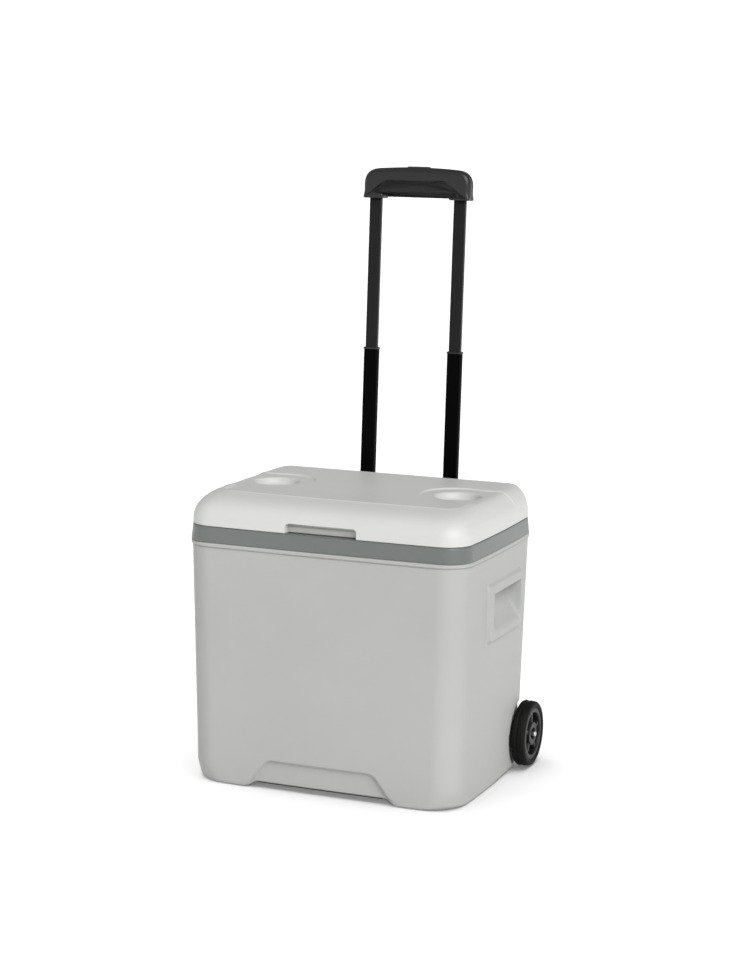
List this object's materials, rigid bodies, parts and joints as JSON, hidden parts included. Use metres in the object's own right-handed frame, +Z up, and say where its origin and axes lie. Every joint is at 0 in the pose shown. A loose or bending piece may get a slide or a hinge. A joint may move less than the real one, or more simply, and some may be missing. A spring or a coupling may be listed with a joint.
{
  "type": "wheeled cooler",
  "caption": "Hard-sided cooler with a hinged lid, cup recesses, side hand pockets, a telescoping pull handle and two rear wheels.",
  "frame": {"origin": "middle of the whole object's box, on the floor it stands on", "axes": "+Z up, -Y the front with the finger notch, +Y the rear with the handle and the wheels, +X the right side seen from behind; the wheels turn about X"},
  "size_m": [0.4872, 0.392, 0.9244],
  "materials": {
    "pale_plastic": "satin",
    "lid_plastic": "satin",
    "grey_plastic": "satin",
    "liner_plastic": "satin",
    "foam": "matte",
    "seal_rubber": "matte",
    "steel": "satin",
    "black_tube": "satin",
    "black_plastic": "satin",
    "screw_steel": "satin",
    "button_plastic": "satin",
    "tyre": "matte",
    "hub_plastic": "satin"
  },
  "bodies": {
    "tub": {"outer_shell": "pale_plastic", "foam_core": "foam", "inner_liner": "liner_plastic", "collar_band": "grey_plastic", "hinge_bracket_L": "pale_plastic", "hinge_bracket_R": "pale_plastic", "hinge_pin_L": "steel", "hinge_pin_R": "steel", "guide_bracket": "black_plastic", "base_bracket": "black_plastic", "guide_tube_L": "black_tube", "guide_tube_R": "black_tube", "axle": "steel", "axle_cap_L": "steel", "axle_cap_R": "steel"},
    "lid": {"lid_shell": "lid_plastic", "lid_foam": "foam", "lid_liner": "liner_plastic", "lid_seal": "seal_rubber"},
    "middle_stage": {"middle_tube_L": "black_tube", "middle_tube_R": "black_tube", "middle_collar_L": "black_plastic", "middle_collar_R": "black_plastic"},
    "inner_stage": {"inner_tube_L": "black_tube", "inner_tube_R": "black_tube", "grip_front": "black_plastic", "grip_rear": "black_plastic", "grip_screw_L": "screw_steel", "grip_screw_R": "screw_steel"},
    "button": {"push_button": "button_plastic"},
    "wheel_left": {"tyre_L": "tyre", "wheel_hub_L": "hub_plastic"},
    "wheel_right": {"tyre_R": "tyre", "wheel_hub_R": "hub_plastic"}
  },
  "joints": [
    {"name": "lid_hinge", "type": "hinge", "parent": "tub", "child": "lid", "pos_m": [0, 0.13425, 0.432], "axis": [-1, 0, 0], "range_deg": [0, 92]},
    {"name": "middle_slide", "type": "slide", "parent": "tub", "child": "middle_stage", "axis": [0, 0.042, 0.9991], "range_m": [-0.243, 0]},
    {"name": "inner_slide", "type": "slide", "parent": "middle_stage", "child": "inner_stage", "axis": [0, 0.042, 0.9991], "range_m": [-0.2355, 0]},
    {"name": "button_press", "type": "slide", "parent": "inner_stage", "child": "button", "axis": [0, 0.042, 0.9991], "range_m": [-0.003, 0], "stiffness_N_per_m": 300, "springref_m": 0.002},
    {"name": "wheel_left_spin", "type": "hinge", "parent": "tub", "child": "wheel_left", "pos_m": [-0.227, 0.10475, 0.0515], "axis": [1, 0, 0], "continuous": true},
    {"name": "wheel_right_spin", "type": "hinge", "parent": "tub", "child": "wheel_right", "pos_m": [0.227, 0.10475, 0.0515], "axis": [1, 0, 0], "continuous": true}
  ]
}
